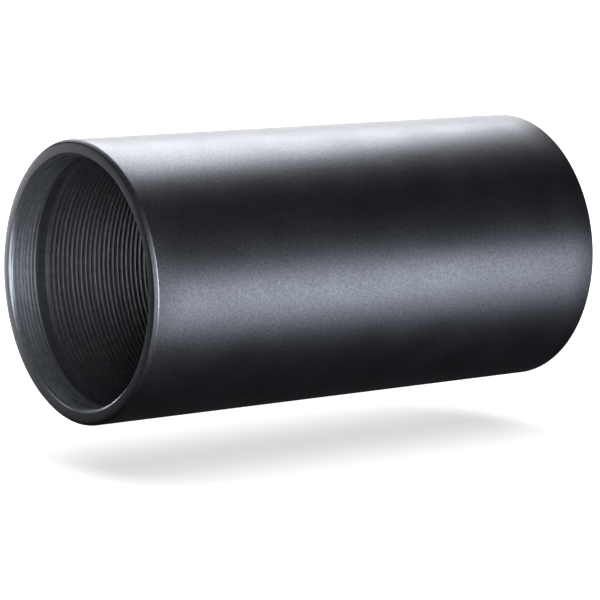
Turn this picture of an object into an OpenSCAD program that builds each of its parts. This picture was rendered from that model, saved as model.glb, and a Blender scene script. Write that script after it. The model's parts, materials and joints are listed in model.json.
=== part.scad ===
// Two-inch Barlow lens: a plain black tube, threaded inside from end to end,
// with an air-spaced negative doublet in a cell that screws along the tube.
// The optical axis is Y. The camera end faces -Y and the telescope end +Y,
// and the origin is the middle of the tube.
// Lengths along the axis ("depth") are counted from the camera end face.

/* [Barrel] */
// Outside diameter of the tube
barrel_od = 50.8; // [50.6:0.1:70]
// Length of the tube, face to face
barrel_len = 100; // [96:1:160]
// 45 degree bevel on the outer corner of each end
rim_bevel = 0.6; // [0.2:0.1:1]

/* [Camera thread] */
// Nominal diameter of the female thread at the camera end
mount_d = 46; // [45.5:0.1:46.5]
// Pitch of the camera thread
mount_pitch = 0.75; // [0.5:0.05:0.9]
// Depth at which the camera thread ends
mount_len = 5.4; // [4:0.1:9]
// Length of the tool relief behind the camera thread
mount_relief = 2.8; // [2:0.1:5]

/* [Filter thread] */
// Nominal diameter of the female thread at the telescope end
filter_d = 48; // [47:0.1:48.2]
// Pitch of the filter thread
filter_pitch = 0.75; // [0.5:0.05:0.9]
// Length of the filter thread
filter_len = 4.2; // [3:0.1:6]
// Length of the tool relief behind the filter thread
filter_relief = 2; // [1.5:0.1:4]

/* [Bore thread] */
// Nominal diameter of the thread that runs along the bore
bore_d = 46; // [45.5:0.1:46.5]
// Pitch of the bore thread
bore_pitch = 1; // [0.8:0.1:2]
// How much further out the tool reliefs lie than the threads' roots
relief_over = 0.25; // [0.05:0.05:0.4]
// Radial width of the lead-in bevels, past the threads' roots
lead_over = 0.1; // [0.05:0.05:0.3]

/* [Optics] */
// Diameter of both lens elements
lens_d = 40; // [34:0.1:40.4]
// Radial clearance of the elements in the cell
lens_gap = 0.05; // [0.03:0.01:0.15]
// Width of the flat ground on the rim of each hollow face
lens_flat = 1; // [0.6:0.1:2]
// Curve radius of the negative element on the telescope side
front_radius = 90; // [70:5:200]
// Curve radius of the meniscus on the side that faces the negative element
inner_radius = 70; // [60:5:120]
// Curve radius of the meniscus on the camera side
rear_radius = 250; // [150:10:500]
// Centre thickness of the negative element
negative_t = 2.5; // [2:0.1:4]
// Centre thickness of the meniscus
meniscus_t = 5; // [4.5:0.1:6]
// Air gap between the two elements
air_gap = 0.3; // [0.2:0.05:0.5]

/* [Lens cell] */
// How far the cell's face lies inside the telescope end, screwed fully back
cell_inset = 13; // [10:0.5:20]
// Length of the plain skirt ahead of the cell's thread
cell_skirt = 3; // [2:0.5:8]
// Radial width of the lip that the meniscus seats on
seat_lip_w = 1.2; // [0.8:0.1:2]
// Thickness of that lip
seat_lip_t = 1.5; // [1:0.1:3]
// Depth of the retaining ring below the cell's face
ring_recess = 0.4; // [0.2:0.1:1]

/* [Rings] */
// Thickness of the nylon cushion under the retaining ring
cushion_t = 0.8; // [0.4:0.1:1.5]
// Thickness of the retaining ring
retainer_t = 2.6; // [1.8:0.1:4]
// Radial step from the lens bore out to the retaining ring's thread
retainer_step = 0.45; // [0.3:0.05:0.6]
// Radial width of the retaining ring
retainer_w = 2.2; // [1.6:0.1:3]
// Thickness of the lock ring
lock_t = 2.5; // [1.5:0.1:3]
// Radial width of the lock ring
lock_w = 2; // [1.6:0.1:3]
// Depth of the glare stop's camera-side face
stop_depth = 50; // [40:1:52]
// Clear diameter of the glare stop
stop_d = 37; // [34:0.1:40]
// Thickness of the glare stop at its rim
stop_t = 3; // [1.5:0.1:4]
// Thickness left at the glare stop's sharp inner edge
stop_edge_t = 0.3; // [0.15:0.05:0.5]

/* [Fits] */
// Radial gap between a male thread and the female crests it runs in
thread_gap = 0.05; // [0.02:0.01:0.08]
// Gap between faces that seat on each other in the cell
seat_gap = 0.01; // [0.01:0.005:0.03]
// Gap between the lock ring and the cell
lock_gap = 0.05; // [0.03:0.01:0.1]
// Width of the spanner notches
notch_w = 2.4; // [1:0.1:4]
// Depth of the spanner notches along the axis
notch_depth = 1.2; // [0.5:0.1:1.4]

/* [Hidden] */
$fn = 256;

// Height of a metric thread's working flank, as a share of its pitch
thread_share = 0.5413;

function crest_radius(d, pitch) = d / 2 - thread_share * pitch;
// How far a curve of the given radius falls away at distance r from its centre
function sag(curve, r) = curve - sqrt(curve * curve - r * r);

mount_crest = crest_radius(mount_d, mount_pitch);
mount_relief_r = mount_d / 2 + relief_over;
bore_crest = crest_radius(bore_d, bore_pitch);
bore_start = mount_len + mount_relief;
bore_end = barrel_len - filter_len - filter_relief;
filter_crest = crest_radius(filter_d, filter_pitch);
filter_relief_r = filter_d / 2 + relief_over;

male_r = bore_crest - thread_gap;
skirt_r = male_r - 0.6;
lens_r = lens_d / 2;
lens_bore_r = lens_r + lens_gap;
flat_r = lens_r - lens_flat;
retainer_bore_r = lens_bore_r + retainer_step;
retainer_r = retainer_bore_r - thread_gap;
hollow_radius = inner_radius + air_gap;

// The stack in the cell, from its camera-side face towards the telescope
stack_meniscus = seat_lip_t + seat_gap;
stack_meniscus_top = stack_meniscus + sag(rear_radius, flat_r) + meniscus_t;
stack_negative = stack_meniscus_top + air_gap;
stack_negative_top = stack_negative + negative_t;
stack_cushion = stack_negative_top + sag(front_radius, flat_r) + seat_gap;
stack_retainer = stack_cushion + cushion_t + seat_gap;
cell_len = stack_retainer + retainer_t + ring_recess;
cell_back = barrel_len - cell_inset;
cell_front = cell_back - cell_len;
cell_thread_from = cell_front + cell_skirt;

meniscus_flat = cell_front + stack_meniscus;
meniscus_back = meniscus_flat + sag(rear_radius, flat_r);
meniscus_front = cell_front + stack_meniscus_top;
negative_back = cell_front + stack_negative;
negative_back_flat = negative_back - sag(hollow_radius, flat_r);
negative_front = cell_front + stack_negative_top;
negative_front_flat = negative_front + sag(front_radius, flat_r);
spacer_from = meniscus_front - sag(inner_radius, flat_r) + seat_gap;
spacer_to = negative_back_flat - seat_gap;
cushion_from = cell_front + stack_cushion;
cushion_to = cushion_from + cushion_t;
retainer_from = cell_front + stack_retainer;
retainer_to = retainer_from + retainer_t;
lock_from = cell_back + lock_gap;
lock_to = lock_from + lock_t;

ANODISED = [0.09, 0.09, 0.10];
BLACK_RING = [0.05, 0.05, 0.055];
CROWN_GLASS = [0.72, 0.86, 0.82, 0.4];
FLINT_GLASS = [0.78, 0.80, 0.88, 0.4];
BRASS = [0.62, 0.50, 0.28];
NYLON = [0.80, 0.79, 0.74];

// Turns depth along +Z, as the profiles are drawn, into depth along +Y with
// the barrel's middle at the origin.
module on_axis() {
    rotate([-90, 0, 0])
        translate([0, 0, -barrel_len / 2])
            children();
}

// A plain ring between two radii and two depths.
module ring(inner, outer, from, to) {
    difference() {
        translate([0, 0, from]) cylinder(r = outer, h = to - from);
        translate([0, 0, from - 1]) cylinder(r = inner, h = to - from + 2);
    }
}

// Two opposed notches for a pin spanner, cut into a face at the given depth.
module spanner_notches(face, inner, outer) {
    for (turn = [0, 180])
        rotate([0, 0, turn])
            translate([inner, -notch_w / 2, face - notch_depth])
                cube([outer - inner, notch_w, notch_depth + 1]);
}

// Outline of a female thread between two depths, as [radius, depth] points:
// crests, flanks and roots, with a plain crest land at each end.
function female_thread(from, to, root, crest, pitch) =
    let (turns = floor((to - from) / pitch - 0.5),
         first = from + (to - from - turns * pitch) / 2,
         turn = [[crest, 0.125], [root, 0.4375], [root, 0.5625], [crest, 0.875]])
    concat(
        [[crest, from]],
        [for (i = [0:turns - 1], p = turn) [p[0], first + (i + p[1]) * pitch]],
        [[crest, to]]);

// The threads at the two ends are drawn as the cylinders that their crests lie on.
module barrel() {
    outer = barrel_od / 2;
    mouth_r = mount_d / 2 + lead_over;
    mount_lead = mouth_r - mount_crest;
    mount_flank = mount_relief_r - mount_crest;
    bore_flank = (mount_relief_r - bore_crest) / 2;
    filter_mouth_r = filter_d / 2 + lead_over;
    filter_lead = filter_mouth_r - filter_crest;
    filter_start = barrel_len - filter_len;
    filter_flank = filter_relief_r - filter_crest;
    color(ANODISED)
        on_axis()
            rotate_extrude()
                polygon(concat(
                    [[mouth_r, 0],
                     [mount_crest, mount_lead],
                     [mount_crest, mount_len],
                     [mount_relief_r, mount_len + mount_flank],
                     [mount_relief_r, bore_start - bore_flank]],
                    female_thread(bore_start, bore_end, bore_d / 2, bore_crest, bore_pitch),
                    [[filter_relief_r, bore_end],
                     [filter_relief_r, filter_start - filter_flank],
                     [filter_crest, filter_start],
                     [filter_crest, barrel_len - filter_lead],
                     [filter_mouth_r, barrel_len],
                     [outer - rim_bevel, barrel_len],
                     [outer, barrel_len - rim_bevel],
                     [outer, rim_bevel],
                     [outer - rim_bevel, 0]]));
}

// Ring with a knife edge towards the telescope, screwed into the bore thread.
module glare_stop() {
    lip = stop_d / 2;
    foot_r = male_r - 1;
    color(BLACK_RING)
        on_axis()
            rotate_extrude()
                polygon([
                    [lip, stop_depth + stop_t - stop_edge_t],
                    [lip, stop_depth + stop_t],
                    [male_r, stop_depth + stop_t],
                    [male_r, stop_depth],
                    [foot_r, stop_depth]
                ]);
}

// Cup for the two elements, with a skirt, a male thread and a lip to seat on.
module lens_cell() {
    lip_r = lens_r - seat_lip_w;
    lip_bevel = 0.4;
    color(ANODISED)
        on_axis()
            difference() {
                rotate_extrude()
                    polygon([
                        [lip_r + lip_bevel, cell_front],
                        [skirt_r, cell_front],
                        [skirt_r, cell_thread_from],
                        [male_r, cell_thread_from + male_r - skirt_r],
                        [male_r, cell_back],
                        [retainer_bore_r, cell_back],
                        [retainer_bore_r, cushion_to],
                        [lens_bore_r, cushion_to],
                        [lens_bore_r, cell_front + seat_lip_t],
                        [lip_r, cell_front + seat_lip_t],
                        [lip_r, cell_front + lip_bevel]
                    ]);
                spanner_notches(cell_back, retainer_bore_r - 1, male_r + 1);
            }
}

// Convex towards the telescope, gently hollow towards the camera.
module meniscus_element() {
    color(FLINT_GLASS)
        on_axis()
            difference() {
                intersection() {
                    translate([0, 0, meniscus_flat])
                        cylinder(r = lens_r, h = meniscus_front - meniscus_flat + 1);
                    translate([0, 0, meniscus_front - inner_radius])
                        sphere(r = inner_radius);
                }
                translate([0, 0, meniscus_back - rear_radius])
                    sphere(r = rear_radius);
            }
}

// Hollow on both sides, with a flat ground round each face.
module negative_element() {
    color(CROWN_GLASS)
        on_axis()
            difference() {
                translate([0, 0, negative_back_flat])
                    cylinder(r = lens_r, h = negative_front_flat - negative_back_flat);
                translate([0, 0, negative_back - hollow_radius])
                    sphere(r = hollow_radius);
                translate([0, 0, negative_front + front_radius])
                    sphere(r = front_radius);
            }
}

module element_spacer() {
    color(BRASS)
        on_axis()
            ring(flat_r + 0.05, lens_r - 0.05, spacer_from, spacer_to);
}

module cushion_ring() {
    color(NYLON)
        on_axis()
            ring(flat_r, lens_r, cushion_from, cushion_to);
}

// Threaded ring with two spanner slots across its telescope-side face.
module slotted_ring(outer, width, from, to, bevel) {
    difference() {
        rotate_extrude()
            polygon([
                [outer - width, from],
                [outer, from],
                [outer, to],
                [outer - width + bevel, to],
                [outer - width, to - bevel]
            ]);
        spanner_notches(to, outer - width - 1, outer + 1);
    }
}

module retaining_ring() {
    color(BLACK_RING)
        on_axis()
            slotted_ring(retainer_r, retainer_w, retainer_from, retainer_to, 0.8);
}

module lock_ring() {
    color(BLACK_RING)
        on_axis()
            slotted_ring(male_r, lock_w, lock_from, lock_to, 0.4);
}

barrel();
glare_stop();
lens_cell();
meniscus_element();
element_spacer();
negative_element();
cushion_ring();
retaining_ring();
lock_ring();
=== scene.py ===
"""Looks of the Barlow lens: turned and blasted black aluminium, coated glass, brass and nylon.

Every round piece is drawn by turned(), which sweeps an outline of (radius, y) points round
the optical axis, +Y. An outline may change with the angle, which gives the helical threads
and the spanner notches. Lengths are in metres.
"""
import json
import math

import bmesh
import bpy
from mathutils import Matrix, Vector


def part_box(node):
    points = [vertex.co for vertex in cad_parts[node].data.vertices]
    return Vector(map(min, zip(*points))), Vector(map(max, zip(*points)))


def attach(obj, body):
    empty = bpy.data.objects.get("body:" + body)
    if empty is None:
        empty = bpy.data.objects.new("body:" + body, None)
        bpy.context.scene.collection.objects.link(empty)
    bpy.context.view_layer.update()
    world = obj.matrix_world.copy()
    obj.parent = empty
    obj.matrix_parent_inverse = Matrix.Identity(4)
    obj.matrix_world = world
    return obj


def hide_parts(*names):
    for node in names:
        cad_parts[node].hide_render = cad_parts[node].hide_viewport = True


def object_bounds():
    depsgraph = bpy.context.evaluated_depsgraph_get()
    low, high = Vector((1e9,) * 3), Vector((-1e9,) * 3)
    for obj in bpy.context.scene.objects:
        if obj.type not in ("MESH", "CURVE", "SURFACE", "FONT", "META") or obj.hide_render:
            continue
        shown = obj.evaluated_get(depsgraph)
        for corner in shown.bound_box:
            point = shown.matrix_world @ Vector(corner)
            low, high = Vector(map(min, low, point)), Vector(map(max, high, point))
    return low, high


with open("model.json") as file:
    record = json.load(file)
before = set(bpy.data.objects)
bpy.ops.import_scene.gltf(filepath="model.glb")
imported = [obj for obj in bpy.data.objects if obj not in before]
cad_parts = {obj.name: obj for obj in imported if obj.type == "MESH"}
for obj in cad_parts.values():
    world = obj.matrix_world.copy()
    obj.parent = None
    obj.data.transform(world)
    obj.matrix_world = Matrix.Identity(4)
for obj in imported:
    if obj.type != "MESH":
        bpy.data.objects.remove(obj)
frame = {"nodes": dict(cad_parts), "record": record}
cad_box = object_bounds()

MM = 0.001
TURN = 2 * math.pi
COLUMNS = 256
# Each sweep starts at the bottom, clear of the notches, which are at 0 and half a turn
SEAM = -math.pi / 2

mounts = {mount["name"]: mount for mount in frame["record"]["mounts"]}


# ---------------------------------------------------------------- sizes

LO, HI = cad_box
CAMERA_END = LO.y
TELESCOPE_END = HI.y
TUBE_R = HI.x
TUBE_D = 2 * TUBE_R

THREAD_SHARE = 0.5413
FINE_PITCH = 0.75 * MM
BORE_PITCH = 1.0 * MM
RIM_BEVEL = 0.6 * MM
LEAD_OVER = 0.1 * MM
RELIEF_OVER = 0.25 * MM
THREAD_GAP = 0.05 * MM
NOTCH_W = 2.4 * MM
NOTCH_DEPTH = 1.2 * MM
CORNER = 0.12 * MM
STOP_LIP_R = 18.5 * MM
STOP_EDGE = 0.3 * MM
RETAINER_W = 2.2 * MM
RETAINER_BEVEL = 0.8 * MM
RETAINER_PITCH = 0.5 * MM
LOCK_W = 2 * MM
LOCK_BEVEL = 0.4 * MM
# Where a ring's plain faces meet its male thread, this far inside the crest
FACE_EDGE = 0.3 * MM

GLASS_FLAT = 1 * MM
MENISCUS_REAR = 250 * MM
MENISCUS_FRONT = 70 * MM
NEGATIVE_REAR = 70.3 * MM
NEGATIVE_FRONT = 90 * MM

CAMERA_CREST = mounts["camera_thread"]["dims"]["r_mm"] * MM
FILTER_CREST = mounts["filter_thread"]["dims"]["r_mm"] * MM
CAMERA_ROOT = CAMERA_CREST + THREAD_SHARE * FINE_PITCH
FILTER_ROOT = FILTER_CREST + THREAD_SHARE * FINE_PITCH
CAMERA_THREAD_LEN = 5.4 * MM
CAMERA_RELIEF = 2.8 * MM
FILTER_THREAD_LEN = 4.2 * MM
FILTER_RELIEF = 2 * MM
CAMERA_THREAD_END = CAMERA_END + CAMERA_THREAD_LEN
BORE_THREAD_START = CAMERA_THREAD_END + CAMERA_RELIEF
FILTER_THREAD_START = TELESCOPE_END - FILTER_THREAD_LEN
BORE_THREAD_END = FILTER_THREAD_START - FILTER_RELIEF
MALE_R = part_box("lens_cell")[1].x
BORE_CREST = MALE_R + THREAD_GAP
BORE_ROOT = BORE_CREST + THREAD_SHARE * BORE_PITCH


# ---------------------------------------------------------------- outlines

# One turn of a thread, as (share of the pitch, share of the depth): a slightly rounded
# crest, a flank, a root and a flank.
TURN_SHAPE = ((0, 0), (0.11, 0.03), (0.44, 1), (0.56, 1), (0.89, 0.03))


def thread_depth(phase):
    """Share of the thread's depth at a phase counted in turns."""
    phase -= math.floor(phase)
    knots = TURN_SHAPE + ((1, 0),)
    for (a, deep_a), (b, deep_b) in zip(knots, knots[1:]):
        if phase <= b:
            return deep_a + (deep_b - deep_a) * (phase - a) / (b - a)
    return 0


def thread(start, end, pitch, crest, root, angle):
    """Outline of a right-hand thread between two places on the axis, at one angle."""
    turned_by = (angle - SEAM) / TURN
    turns = math.ceil((end - start) / pitch) + 1
    points = []
    for turn in range(turns + 1):
        for share, _ in TURN_SHAPE:
            y = start + (turn + share - turned_by) * pitch
            y = min(max(y, start), end)
            phase = (y - start) / pitch + turned_by
            points.append((crest + (root - crest) * thread_depth(phase), y))
    return points


def soften(points, radius):
    """Rounds the inner corners of an open outline, with three points for each corner."""
    out = [points[0]]
    for before, corner, after in zip(points, points[1:], points[2:]):
        a, p, b = Vector(before), Vector(corner), Vector(after)
        reach_a = min(radius, (a - p).length * 0.45)
        reach_b = min(radius, (b - p).length * 0.45)
        from_a = p + (a - p).normalized() * reach_a
        to_b = p + (b - p).normalized() * reach_b
        out += [tuple(from_a), tuple(from_a * 0.25 + p * 0.5 + to_b * 0.25), tuple(to_b)]
    return out + [points[-1]]


def stretch(start, end, steps):
    """Evenly spaced points between two points, without the points themselves."""
    return [
        tuple(Vector(start).lerp(Vector(end), step / steps)) for step in range(1, steps)
    ]


def sag(curve, r):
    """Depth of a sphere's cap at a radius from its middle."""
    return curve - math.sqrt(curve * curve - r * r)


def face_of_glass(curve, middle_y, side, outer):
    """Points on a lens face, from the axis outwards, that move to one side as they go."""
    steps = 24
    radii = [outer * step / steps for step in range(steps + 1)]
    return [(r, middle_y + side * sag(curve, r)) for r in radii]


# ---------------------------------------------------------------- turned pieces


def turned(name, outline, notches=(), notch_w=0.0):
    """Sweeps outline(angle, in_notch) round the axis. At a notch's two edges the
    outline is drawn twice, and the faces between the two are the notch's side walls."""
    columns = [(SEAM + TURN * step / COLUMNS, False) for step in range(COLUMNS + 1)]
    for centre in notches:
        half = notch_w / 2
        low, high = centre - half, centre + half
        columns = [c for c in columns if not low - 1e-6 < c[0] < high + 1e-6]
        columns += [(low, False), (low, True), (centre, True), (high, True), (high, False)]
    order = {False: 0, True: 1}
    columns.sort(key=lambda c: (c[0], order[c[1]]))
    # Leaving a notch, the notched outline comes first
    for i in range(1, len(columns)):
        same = abs(columns[i][0] - columns[i - 1][0]) < 1e-9
        leaving = i >= 2 and columns[i - 2][1]
        if same and leaving and columns[i][1]:
            columns[i - 1], columns[i] = columns[i], columns[i - 1]
    verts = []
    rows = 0
    for angle, in_notch in columns:
        points = outline(angle, in_notch)
        rows = len(points)
        verts += [(r * math.cos(angle), y, r * math.sin(angle)) for r, y in points]
    faces = []
    for column in range(len(columns) - 1):
        here, there = column * rows, (column + 1) * rows
        for row in range(rows):
            below = (row + 1) % rows
            if points[row][0] == 0 and points[below][0] == 0:
                continue
            faces.append((here + row, here + below, there + below, there + row))
    mesh = bpy.data.meshes.new(name)
    mesh.from_pydata(verts, [], faces)
    tidy = bmesh.new()
    tidy.from_mesh(mesh)
    bmesh.ops.remove_doubles(tidy, verts=tidy.verts, dist=2e-6)
    bmesh.ops.dissolve_degenerate(tidy, edges=tidy.edges, dist=1e-6)
    bmesh.ops.recalc_face_normals(tidy, faces=tidy.faces)
    tidy.to_mesh(mesh)
    tidy.free()
    mesh.shade_smooth()
    mesh.set_sharp_from_angle(angle=math.radians(32))
    piece = bpy.data.objects.new(name, mesh)
    bpy.context.scene.collection.objects.link(piece)
    return piece


def place(piece, node, body, slot, *materials):
    for material in materials:
        piece.data.materials.append(material)
    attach(piece, body)
    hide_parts(node)


# ---------------------------------------------------------------- materials


class Surface:
    """A Principled material whose detail comes from procedural textures."""

    def __init__(self, name, base, metallic, roughness):
        self.material = bpy.data.materials.new(name)
        self.material.use_nodes = True
        self.tree = self.material.node_tree
        self.shader = self.tree.nodes["Principled BSDF"]
        self.shader.inputs["Base Color"].default_value = (*base, 1)
        self.shader.inputs["Metallic"].default_value = metallic
        self.shader.inputs["Roughness"].default_value = roughness
        self.place = self.tree.nodes.new("ShaderNodeTexCoord").outputs["Object"]

    def node(self, kind, **inputs):
        made = self.tree.nodes.new(kind)
        for key, value in inputs.items():
            made.inputs[key.replace("_", " ")].default_value = value
        return made

    def link(self, source, target):
        self.tree.links.new(source, target)

    def noise(self, size, detail=2.0, squeeze=None):
        """Noise whose features are about size metres across."""
        place = self.place
        if squeeze:
            mapping = self.node("ShaderNodeMapping")
            mapping.inputs["Scale"].default_value = squeeze
            self.link(place, mapping.inputs["Vector"])
            place = mapping.outputs["Vector"]
        made = self.node("ShaderNodeTexNoise", Scale=1 / size, Detail=detail)
        self.link(place, made.inputs["Vector"])
        return made.outputs["Fac"]

    def remap(self, source, low, high):
        made = self.node("ShaderNodeMapRange")
        made.inputs["From Min"].default_value = 0.3
        made.inputs["From Max"].default_value = 0.7
        made.inputs["To Min"].default_value = low
        made.inputs["To Max"].default_value = high
        self.link(source, made.inputs["Value"])
        return made.outputs["Result"]

    def tint(self, source, dark, light):
        """Base colour between two colours."""
        ramp = self.node("ShaderNodeValToRGB")
        ramp.color_ramp.elements[0].position = 0.3
        ramp.color_ramp.elements[0].color = (*dark, 1)
        ramp.color_ramp.elements[1].position = 0.7
        ramp.color_ramp.elements[1].color = (*light, 1)
        self.link(source, ramp.inputs["Fac"])
        self.link(ramp.outputs["Color"], self.shader.inputs["Base Color"])

    def rough(self, source, low, high):
        self.link(self.remap(source, low, high), self.shader.inputs["Roughness"])

    def bump(self, source, height, strength=1.0):
        made = self.node("ShaderNodeBump", Strength=strength, Distance=height)
        self.link(source, made.inputs["Height"])
        previous = self.shader.inputs["Normal"]
        if previous.is_linked:
            self.link(previous.links[0].from_socket, made.inputs["Normal"])
        self.link(made.outputs["Normal"], previous)


def blasted_aluminium():
    """Bead-blasted, then anodised black: fine grain with a soft bluish sheen."""
    made = Surface("blasted_black_aluminium", (0.09, 0.095, 0.11), 1.0, 0.38)
    made.tint(made.noise(0.35 * MM, 3), (0.070, 0.074, 0.086), (0.118, 0.124, 0.142))
    made.rough(made.noise(9 * MM, 4), 0.35, 0.40)
    made.bump(made.noise(0.22 * MM, 2), 0.012 * MM)
    return made.material


def turned_aluminium(name, base, roughness):
    """Turned and anodised black: faint tool marks that run round the axis."""
    made = Surface(name, base, 0.94, roughness)
    light = tuple(channel * 1.35 for channel in base)
    made.tint(made.noise(1.2 * MM, 3), base, light)
    marks = made.noise(1.0, 2, squeeze=(60, 9000, 60))
    made.rough(marks, roughness - 0.06, roughness + 0.08)
    made.bump(marks, 0.006 * MM)
    made.bump(made.noise(0.15 * MM, 1), 0.004 * MM)
    return made.material


def coated_glass(name, reflection, ior):
    """Polished glass with an anti-reflection coating, and a trace of dust."""
    made = Surface(name, (0.98, 0.99, 0.98), 0.0, 0.0)
    made.shader.inputs["Transmission Weight"].default_value = 1.0
    made.shader.inputs["IOR"].default_value = ior
    made.shader.inputs["Specular Tint"].default_value = (*reflection, 1)
    made.rough(made.noise(1.6 * MM, 6), 0.0, 0.03)
    return made.material


def brass():
    made = Surface("rolled_brass", (0.72, 0.55, 0.28), 1.0, 0.3)
    made.tint(made.noise(2 * MM, 3), (0.62, 0.45, 0.20), (0.80, 0.63, 0.36))
    made.rough(made.noise(0.4 * MM, 2), 0.22, 0.4)
    return made.material


def nylon():
    made = Surface("natural_nylon", (0.78, 0.77, 0.72), 0.0, 0.5)
    made.tint(made.noise(3 * MM, 3), (0.70, 0.69, 0.63), (0.82, 0.81, 0.76))
    made.rough(made.noise(0.5 * MM, 2), 0.42, 0.6)
    made.bump(made.noise(0.3 * MM, 2), 0.01 * MM)
    return made.material


# ---------------------------------------------------------------- pieces


def make_barrel():
    mouth_r = CAMERA_ROOT + LEAD_OVER
    filter_mouth_r = FILTER_ROOT + LEAD_OVER
    relief_r = BORE_ROOT + RELIEF_OVER
    filter_relief_r = FILTER_ROOT + RELIEF_OVER
    camera_flank = relief_r - CAMERA_CREST
    bore_flank = (relief_r - BORE_CREST) / 4
    filter_flank = filter_relief_r - FILTER_CREST
    outside = [
        (filter_mouth_r, TELESCOPE_END),
        (TUBE_R - RIM_BEVEL, TELESCOPE_END),
        (TUBE_R, TELESCOPE_END - RIM_BEVEL),
        (TUBE_R, CAMERA_END + RIM_BEVEL),
        (TUBE_R - RIM_BEVEL, CAMERA_END),
        (mouth_r, CAMERA_END),
    ]
    outside = soften(outside, CORNER)[1:-1]
    # The long wall is cut into shorter faces
    middle = len(outside) // 2
    outside[middle:middle] = stretch(outside[middle - 1], outside[middle], 20)

    def outline(angle, _):
        camera_thread = [
            (max(r, mouth_r - (y - CAMERA_END)), y)
            for r, y in thread(
                CAMERA_END, CAMERA_THREAD_END, FINE_PITCH, CAMERA_CREST, CAMERA_ROOT, angle
            )
        ]
        filter_thread = [
            (max(r, filter_mouth_r - (TELESCOPE_END - y)), y)
            for r, y in thread(
                FILTER_THREAD_START, TELESCOPE_END, FINE_PITCH, FILTER_CREST, FILTER_ROOT, angle
            )
        ]
        return [
            *camera_thread,
            (relief_r, CAMERA_THREAD_END + camera_flank),
            (relief_r, BORE_THREAD_START - bore_flank),
            *thread(
                BORE_THREAD_START, BORE_THREAD_END, BORE_PITCH, BORE_CREST, BORE_ROOT, angle
            ),
            (filter_relief_r, BORE_THREAD_END),
            (filter_relief_r, FILTER_THREAD_START - filter_flank),
            *filter_thread,
            *outside,
        ]

    barrel = turned("barrel_tube", outline)
    place(
        barrel, "barrel", "tube", "black_anodised",
        blasted_aluminium(),
        turned_aluminium("turned_black_bore", (0.125, 0.130, 0.142), 0.34),
        # A lighter copy of the bore's finish: painted light for the camera thread
        turned_aluminium("painted_lit_camera_thread", (0.26, 0.275, 0.31), 0.30),
    )
    # The bore is turned. The camera thread gets a lighter copy of the bore's finish, painted
    # light that stands in for the light falling in at the mouth
    inside_r = TUBE_R - RIM_BEVEL - 0.2 * MM
    for face in barrel.data.polygons:
        r = math.hypot(face.center.x, face.center.z)
        if r < inside_r and abs(face.normal.y) < 0.99:
            face.material_index = 2 if face.center.y < CAMERA_THREAD_END else 1


def male_thread(low, high, r, pitch, angle):
    """A male thread's outline, from its low end to its high end, bevelled at both."""
    root = r - THREAD_SHARE * pitch
    points = []
    for at, y in thread(low, high, pitch, r, root, angle):
        bevel = min(y - low, high - y)
        points.append((min(at, root + 0.1 * MM + bevel), y))
    return points


def make_glare_stop(black):
    low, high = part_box("glare_stop")
    foot_r = MALE_R - 1 * MM

    def outline(angle, _):
        inner = soften(
            [
                (MALE_R - 0.5 * MM, high.y),
                (STOP_LIP_R, high.y),
                (STOP_LIP_R, high.y - STOP_EDGE),
                (foot_r, low.y),
                (MALE_R - 0.5 * MM, low.y),
            ],
            0.05 * MM,
        )
        return inner[1:-1] + male_thread(low.y, high.y, MALE_R, BORE_PITCH, angle)

    place(turned("glare_ring", outline), "glare_stop", "tube", "black_ring", black)


def notched_ring(name, node, width, bevel, pitch):
    """Threaded ring with two spanner notches in the face towards the telescope."""
    low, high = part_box(node)
    outer = high.x
    inner = outer - width

    def outline(angle, in_notch):
        top = high.y - (NOTCH_DEPTH if in_notch else 0)
        face = soften(
            [
                (outer - FACE_EDGE, low.y),
                (inner, low.y),
                (inner, high.y - NOTCH_DEPTH - bevel),
                (inner, high.y - bevel),
                (inner + bevel, high.y),
                (outer - FACE_EDGE, high.y),
            ],
            0.06 * MM,
        )[1:-1]
        face = [(r, min(y, top)) for r, y in face]
        side = male_thread(low.y, high.y, outer, pitch, angle)[::-1]
        # In a notch, the turns above its floor shrink to one point of it, so no face folds
        side = [(outer - FACE_EDGE, top) if y > top else (r, y) for r, y in side]
        return face + side

    return turned(name, outline, (0, TURN / 2), NOTCH_W / outer)


def make_rings(black):
    retaining = notched_ring(
        "slotted_retaining_ring", "retaining_ring", RETAINER_W, RETAINER_BEVEL, RETAINER_PITCH
    )
    place(retaining, "retaining_ring", "cell", "black_ring", black)
    lock = notched_ring("slotted_lock_ring", "lock_ring", LOCK_W, LOCK_BEVEL, BORE_PITCH)
    place(lock, "lock_ring", "lock", "black_ring", black)


def make_glass():
    low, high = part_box("meniscus_element")
    lens_r = high.x
    flat_r = lens_r - GLASS_FLAT
    hollow = face_of_glass(
        MENISCUS_REAR, low.y + sag(MENISCUS_REAR, flat_r), -1, flat_r
    )
    round_face = face_of_glass(MENISCUS_FRONT, high.y, -1, lens_r)
    meniscus = [*hollow, (lens_r, low.y), *round_face[::-1]]
    place(
        turned("flint_meniscus", lambda angle, _: meniscus),
        "meniscus_element", "glass_stack", "flint_glass",
        coated_glass("coated_flint", (0.20, 0.12, 0.30), 1.62),
    )

    low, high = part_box("negative_element")
    rear = face_of_glass(
        NEGATIVE_REAR, low.y + sag(NEGATIVE_REAR, flat_r), -1, flat_r
    )
    front = face_of_glass(
        NEGATIVE_FRONT, high.y - sag(NEGATIVE_FRONT, flat_r), 1, flat_r
    )
    negative = [*rear, (lens_r, low.y), (lens_r, high.y), *front[::-1]]
    place(
        turned("crown_negative", lambda angle, _: negative),
        "negative_element", "glass_stack", "crown_glass",
        coated_glass("coated_crown", (0.12, 0.27, 0.18), 1.52),
    )


# ---------------------------------------------------------------- build

cell_black = turned_aluminium("turned_black_cell", (0.05, 0.05, 0.056), 0.42)
ring_black = turned_aluminium("turned_black_ring", (0.04, 0.04, 0.045), 0.45)

make_barrel()
make_glare_stop(ring_black)
make_rings(ring_black)
make_glass()

for node, finish in (
    ("lens_cell", cell_black),
    ("element_spacer", brass()),
    ("cushion_ring", nylon()),
):
    carried = frame["nodes"][node]
    carried.data.materials.clear()
    carried.data.materials.append(finish)


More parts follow.
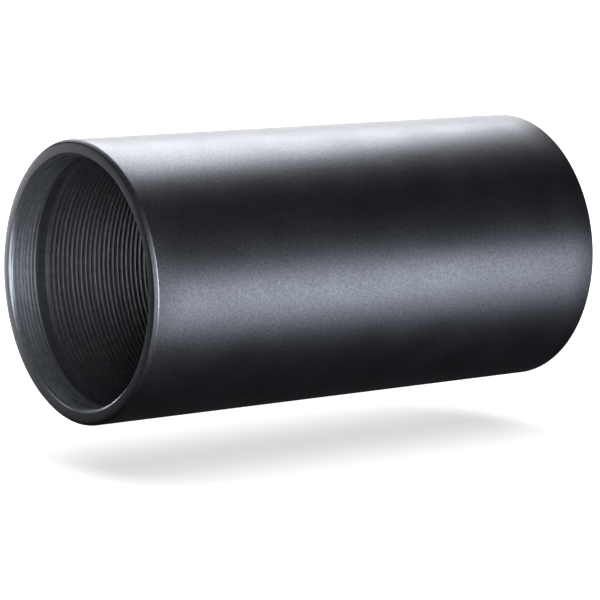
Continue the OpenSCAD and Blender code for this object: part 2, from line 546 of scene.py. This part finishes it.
# ---------------------------------------------------------------- stage

FLOOR_GAP = 9 * MM


def make_floor():
    mesh = bpy.data.meshes.new("floor")
    size = 4.0
    z = LO.z - FLOOR_GAP
    mesh.from_pydata(
        [(-size, -size, z), (size, -size, z), (size, size, z), (-size, size, z)],
        [],
        [(0, 1, 2, 3)],
    )
    floor = bpy.data.objects.new("floor", mesh)
    bpy.context.scene.collection.objects.link(floor)
    paper = Surface("white_paper", (0.8, 0.8, 0.8), 0.0, 0.9)
    paper.tint(paper.noise(3 * MM, 2), (0.79, 0.79, 0.79), (0.81, 0.81, 0.81))
    paper.shader.inputs["Specular IOR Level"].default_value = 0.0
    paper.shader.inputs["Emission Color"].default_value = (1, 1, 1, 1)
    # The paper glows more away from the object, so the picture is white out to its edges
    across = paper.node("ShaderNodeVectorMath")
    across.operation = "LENGTH"
    paper.link(paper.place, across.inputs[0])
    glow = paper.node("ShaderNodeMapRange")
    glow.inputs["From Min"].default_value = 0.12
    glow.inputs["From Max"].default_value = 0.35
    glow.inputs["To Min"].default_value = 0.66
    glow.inputs["To Max"].default_value = 1.1
    paper.link(across.outputs["Value"], glow.inputs["Value"])
    paper.link(glow.outputs["Result"], paper.shader.inputs["Emission Strength"])
    mesh.materials.append(paper.material)
    floor.visible_glossy = False
    floor.visible_diffuse = False
    floor.visible_transmission = False
    floor.visible_shadow = False
    return floor


def group(name, members):
    """A collection that a light can be limited to."""
    made = bpy.data.collections.new(name)
    for member in members:
        made.objects.link(member)
    return made


def softbox(name, receivers, direction, distance, width, height, power, colour=(1, 1, 1)):
    """A rectangular area light that faces the tube from a direction, and lights only
    the receivers, so that the floor's shadow and the tube's tones are set apart."""
    data = bpy.data.lights.new(name, "AREA")
    data.shape = "RECTANGLE"
    data.size = width
    data.size_y = height
    data.energy = power
    data.color = colour
    light = bpy.data.objects.new(name, data)
    bpy.context.scene.collection.objects.link(light)
    at = Vector(direction).normalized() * distance
    light.location = at
    light.rotation_mode = "QUATERNION"
    light.rotation_quaternion = (-at).to_track_quat("-Z", "Y")
    light.visible_camera = False
    light.visible_transmission = False
    light.light_linking.receiver_collection = receivers
    return light


def make_world():
    world = bpy.data.worlds.new("studio")
    bpy.context.scene.world = world
    world.use_nodes = True
    tree = world.node_tree
    background = tree.nodes["Background"]
    path = tree.nodes.new("ShaderNodeLightPath")
    seen = tree.nodes.new("ShaderNodeMixRGB")
    seen.inputs["Color1"].default_value = (0.014, 0.014, 0.015, 1)
    seen.inputs["Color2"].default_value = (1, 1, 1, 1)
    # White where it is looked at, by eye or through the glass, and dark as a light
    looked_at = tree.nodes.new("ShaderNodeMath")
    looked_at.operation = "MAXIMUM"
    tree.links.new(path.outputs["Is Camera Ray"], looked_at.inputs[0])
    tree.links.new(path.outputs["Is Transmission Ray"], looked_at.inputs[1])
    tree.links.new(looked_at.outputs["Value"], seen.inputs["Fac"])
    tree.links.new(seen.outputs["Color"], background.inputs["Color"])
    background.inputs["Strength"].default_value = 1.0


def make_camera():
    azimuth, elevation = math.radians(53.51), math.radians(7.82)
    back = Vector((
        math.sin(azimuth) * math.cos(elevation),
        -math.cos(azimuth) * math.cos(elevation),
        math.sin(elevation),
    ))
    right = Vector((math.cos(azimuth), math.sin(azimuth), 0))
    up = back.cross(right)
    data = bpy.data.cameras.new("camera")
    data.sensor_width = 36
    data.lens = 176.5
    camera = bpy.data.objects.new("camera", data)
    bpy.context.scene.collection.objects.link(camera)
    mouth = Vector((0, CAMERA_END + RIM_BEVEL, 0))
    camera.location = mouth + (right * 0.7686 - up * 0.0597 + back * 10.232) * TUBE_D
    camera.rotation_mode = "QUATERNION"
    camera.rotation_quaternion = (-back).to_track_quat("-Z", "Y")
    bpy.context.scene.camera = camera


floor = make_floor()
make_world()
make_camera()
bpy.context.scene.view_settings.view_transform = "Standard"

lens = group("lit_object", [o for o in bpy.data.objects if o.type == "MESH" and o != floor])
stage = group("lit_floor", [floor])
BLUISH = (0.93, 0.96, 1.0)
# Name, receivers, direction, distance, width and height in metres, watts, and any colour
softbox("overhead", lens, (-0.345, 0.15, 0.50), 0.62, 0.62, 0.55, 7.0)
softbox("behind", lens, (-0.80, 0.58, 0.12), 0.80, 0.6, 0.4, 1.6)
softbox("front_right", lens, (0.79, 0.52, -0.19), 0.27, 0.09, 0.10, 0.12, BLUISH)
softbox("front_wide", lens, (0.79, 0.52, -0.25), 0.5, 0.30, 0.36, 0.75, BLUISH)
softbox("front_left", lens, (0.84, -0.54, 0.04), 0.5, 0.12, 0.36, 3.0)
softbox("front_face", lens, (0.34, -0.93, -0.08), 0.5, 0.16, 0.34, 0.6)
softbox("mouth", lens, (0.973, -0.23, -0.08), 0.4, 0.05, 0.24, 1.3)
softbox("far_side", lens, (-0.86, -0.22, -0.03), 0.45, 0.16, 0.14, 0.5)
softbox("floor_top", stage, (0.02, -0.03, 1), 0.7, 1.3, 1.3, 8.6)
